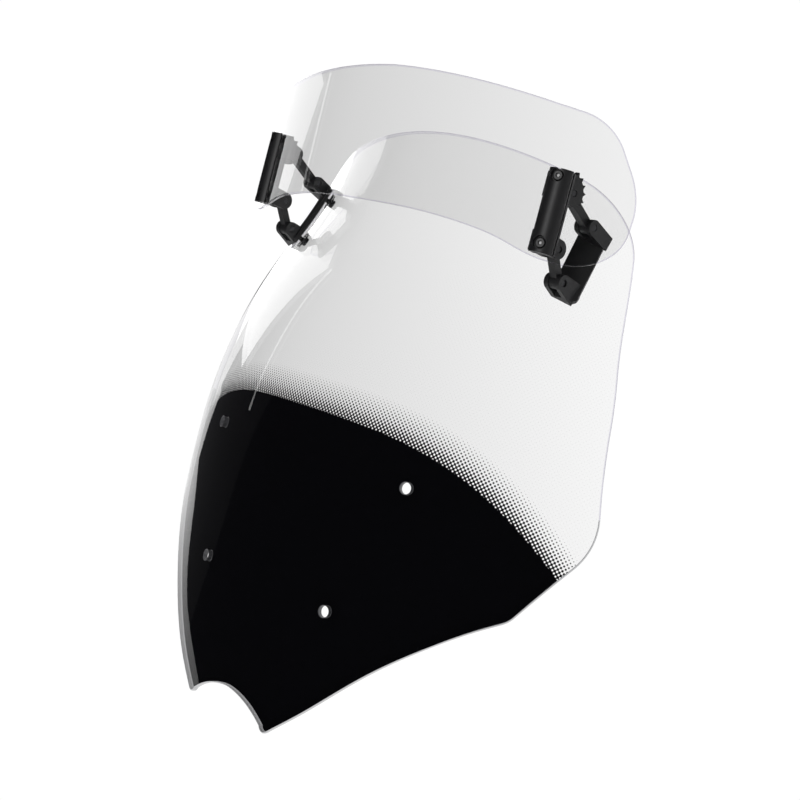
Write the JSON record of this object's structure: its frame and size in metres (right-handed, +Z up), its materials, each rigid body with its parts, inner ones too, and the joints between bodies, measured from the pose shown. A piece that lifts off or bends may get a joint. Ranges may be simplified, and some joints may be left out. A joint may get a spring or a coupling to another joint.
{
  "type": "windshield screen",
  "caption": "Curved clear motorcycle windshield sheet with a black lower area and a clear spoiler blade that lowers and tilts on paired links above its top edge.",
  "frame": {"origin": "midway between the two lower fixing holes, on the straight line between their front rims", "axes": "+X across the screen, -Y towards the front wheel, +Z up; the line through the lower and upper fixing holes leans back 26.5 degrees. Names ending in right are on the +X side."},
  "size_m": [0.461, 0.2539, 0.4752],
  "materials": {
    "screen_sheet": "clear polished acrylic, lower part backed by gloss black print",
    "blade_sheet": "clear polished acrylic",
    "bar_plastic": "satin moulded",
    "bracket_plastic": "fine moulded grain",
    "link_plastic": "fine moulded grain",
    "screw_steel": "black coated",
    "pin_steel": "black coated",
    "gasket_rubber": "matte"
  },
  "bodies": {
    "root": {"main_screen": "screen_sheet", "base_bracket_right": "bracket_plastic", "base_gasket_right": "gasket_rubber", "backing_washers_right": "screw_steel", "base_screws_right": "screw_steel", "upper_base_pin_right": "pin_steel", "lower_base_pin_right": "pin_steel", "base_bracket_left": "bracket_plastic", "base_gasket_left": "gasket_rubber", "backing_washers_left": "screw_steel", "base_screws_left": "screw_steel", "upper_base_pin_left": "pin_steel", "lower_base_pin_left": "pin_steel"},
    "upper_link_right": {"upper_link_right": "link_plastic"},
    "lower_link_right": {"lower_link_right": "link_plastic"},
    "upper_link_left": {"upper_link_left": "link_plastic"},
    "lower_link_left": {"lower_link_left": "link_plastic"},
    "spoiler": {"spoiler_blade": "blade_sheet", "clamp_bar_right": "bar_plastic", "clamp_screws_right": "screw_steel", "spoiler_bracket_right": "bracket_plastic", "upper_spoiler_pin_right": "pin_steel", "lower_spoiler_pin_right": "pin_steel", "clamp_bar_left": "bar_plastic", "clamp_screws_left": "screw_steel", "spoiler_bracket_left": "bracket_plastic", "upper_spoiler_pin_left": "pin_steel", "lower_spoiler_pin_left": "pin_steel"}
  },
  "joints": [
    {"name": "upper_link_left_pivot", "type": "hinge", "parent": "root", "child": "upper_link_left", "pos_m": [-0.1555, 0.1809, 0.27028], "axis": [1, 0, 0], "range_deg": [0, 22]},
    {"name": "upper_link_right_pivot", "type": "hinge", "parent": "root", "child": "upper_link_right", "pos_m": [0.1555, 0.1809, 0.27028], "axis": [1, 0, 0], "range_deg": [0, 22]},
    {"name": "spoiler_tilt", "type": "hinge", "parent": "upper_link_left", "child": "spoiler", "pos_m": [-0.1555, 0.1582, 0.29713], "axis": [1, 0, 0], "range_deg": [-30.4, 0]},
    {"name": "lower_link_left_pivot", "type": "hinge", "parent": "root", "child": "lower_link_left", "pos_m": [-0.1555, 0.15071, 0.23438], "axis": [1, 0, 0], "range_deg": [0, 36.8]},
    {"name": "lower_link_right_pivot", "type": "hinge", "parent": "root", "child": "lower_link_right", "pos_m": [0.1555, 0.15071, 0.23438], "axis": [1, 0, 0], "range_deg": [0, 36.8]}
  ],
  "couplings": [
    {"joint": "upper_link_right_pivot", "follows": "upper_link_left_pivot", "ratio": 1},
    {"joint": "spoiler_tilt", "follows": "upper_link_left_pivot", "ratio": -1.377},
    {"joint": "lower_link_left_pivot", "follows": "upper_link_left_pivot", "ratio": 1.669},
    {"joint": "lower_link_right_pivot", "follows": "upper_link_left_pivot", "ratio": 1.669}
  ]
}
